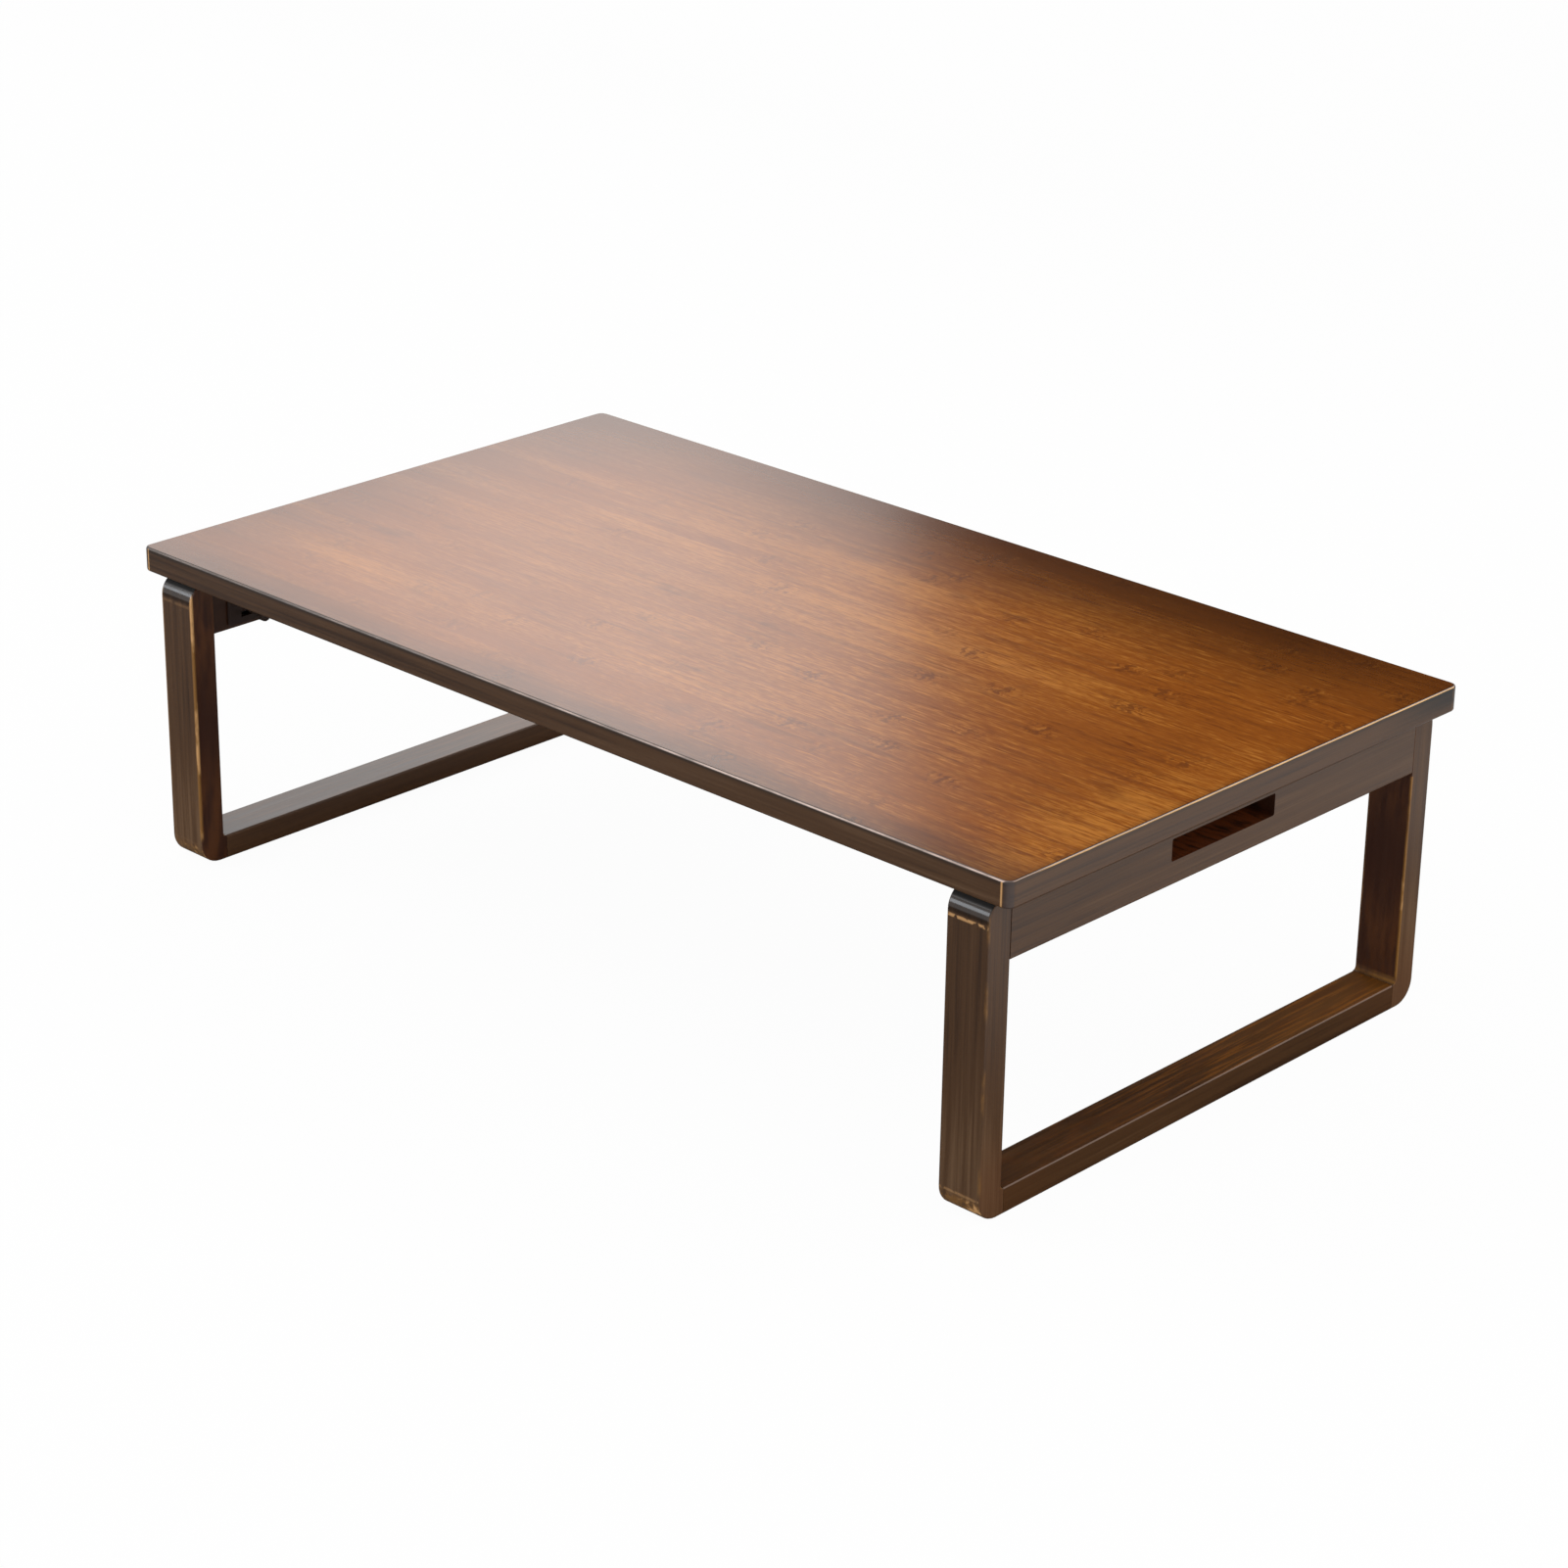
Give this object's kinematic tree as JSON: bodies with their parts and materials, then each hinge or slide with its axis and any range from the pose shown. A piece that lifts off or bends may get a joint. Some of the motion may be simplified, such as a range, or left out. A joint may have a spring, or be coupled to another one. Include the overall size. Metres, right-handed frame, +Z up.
{
  "type": "folding floor table",
  "caption": "Low bamboo table: a board on fixed end aprons with hand slots, and leg frames that fold inward on pivot pins and are held by sliding bolts.",
  "frame": {"origin": "on the floor, under the centre of the board", "axes": "+X along the board's length towards the right end, +Y across it towards the back, +Z up"},
  "size_m": [0.9, 0.5, 0.26],
  "materials": {
    "board": "satin lacquered laminated bamboo",
    "frame": "dark stained bamboo, satin lacquer",
    "dowel": "bare wood",
    "steel": "zinc plated",
    "black_steel": "blackened",
    "nylon": "moulded"
  },
  "bodies": {
    "table": {"top_board": "board", "right_apron": "frame", "right_apron_screw_1": "steel", "right_apron_screw_2": "steel", "right_apron_screw_3": "steel", "right_apron_screw_4": "steel", "right_front_pivot_pin": "steel", "right_front_lock_plate": "black_steel", "right_front_plate_screw_1": "black_steel", "right_front_plate_screw_2": "black_steel", "right_back_pivot_pin": "steel", "right_back_lock_plate": "black_steel", "right_back_plate_screw_1": "black_steel", "right_back_plate_screw_2": "black_steel", "left_apron": "frame", "left_apron_screw_1": "steel", "left_apron_screw_2": "steel", "left_apron_screw_3": "steel", "left_apron_screw_4": "steel", "left_front_pivot_pin": "steel", "left_front_lock_plate": "black_steel", "left_front_plate_screw_1": "black_steel", "left_front_plate_screw_2": "black_steel", "left_back_pivot_pin": "steel", "left_back_lock_plate": "black_steel", "left_back_plate_screw_1": "black_steel", "left_back_plate_screw_2": "black_steel"},
    "right_frame": {"right_foot_rail": "frame", "right_front_leg": "frame", "right_front_pivot_bush": "nylon", "right_front_dowel_1": "dowel", "right_front_dowel_2": "dowel", "right_back_leg": "frame", "right_back_pivot_bush": "nylon", "right_back_dowel_1": "dowel", "right_back_dowel_2": "dowel"},
    "left_frame": {"left_foot_rail": "frame", "left_front_leg": "frame", "left_front_pivot_bush": "nylon", "left_front_dowel_1": "dowel", "left_front_dowel_2": "dowel", "left_back_leg": "frame", "left_back_pivot_bush": "nylon", "left_back_dowel_1": "dowel", "left_back_dowel_2": "dowel"},
    "right_front_bolt": {"right_front_lock_bolt": "steel", "right_front_lock_knob": "black_steel"},
    "right_back_bolt": {"right_back_lock_bolt": "steel", "right_back_lock_knob": "black_steel"},
    "left_front_bolt": {"left_front_lock_bolt": "steel", "left_front_lock_knob": "black_steel"},
    "left_back_bolt": {"left_back_lock_bolt": "steel", "left_back_lock_knob": "black_steel"}
  },
  "joints": [
    {"name": "right_fold", "type": "hinge", "parent": "table", "child": "right_frame", "pos_m": [0.4075, 0, 0.2155], "axis": [0, 1, 0], "range_deg": [0, 90]},
    {"name": "left_fold", "type": "hinge", "parent": "table", "child": "left_frame", "pos_m": [-0.4075, 0, 0.2155], "axis": [0, -1, 0], "range_deg": [0, 90]},
    {"name": "right_front_lock", "type": "slide", "parent": "table", "child": "right_front_bolt", "axis": [0, -1, 0], "range_m": [0, 0.009]},
    {"name": "right_back_lock", "type": "slide", "parent": "table", "child": "right_back_bolt", "axis": [0, 1, 0], "range_m": [0, 0.009]},
    {"name": "left_front_lock", "type": "slide", "parent": "table", "child": "left_front_bolt", "axis": [0, -1, 0], "range_m": [0, 0.009]},
    {"name": "left_back_lock", "type": "slide", "parent": "table", "child": "left_back_bolt", "axis": [0, 1, 0], "range_m": [0, 0.009]}
  ]
}
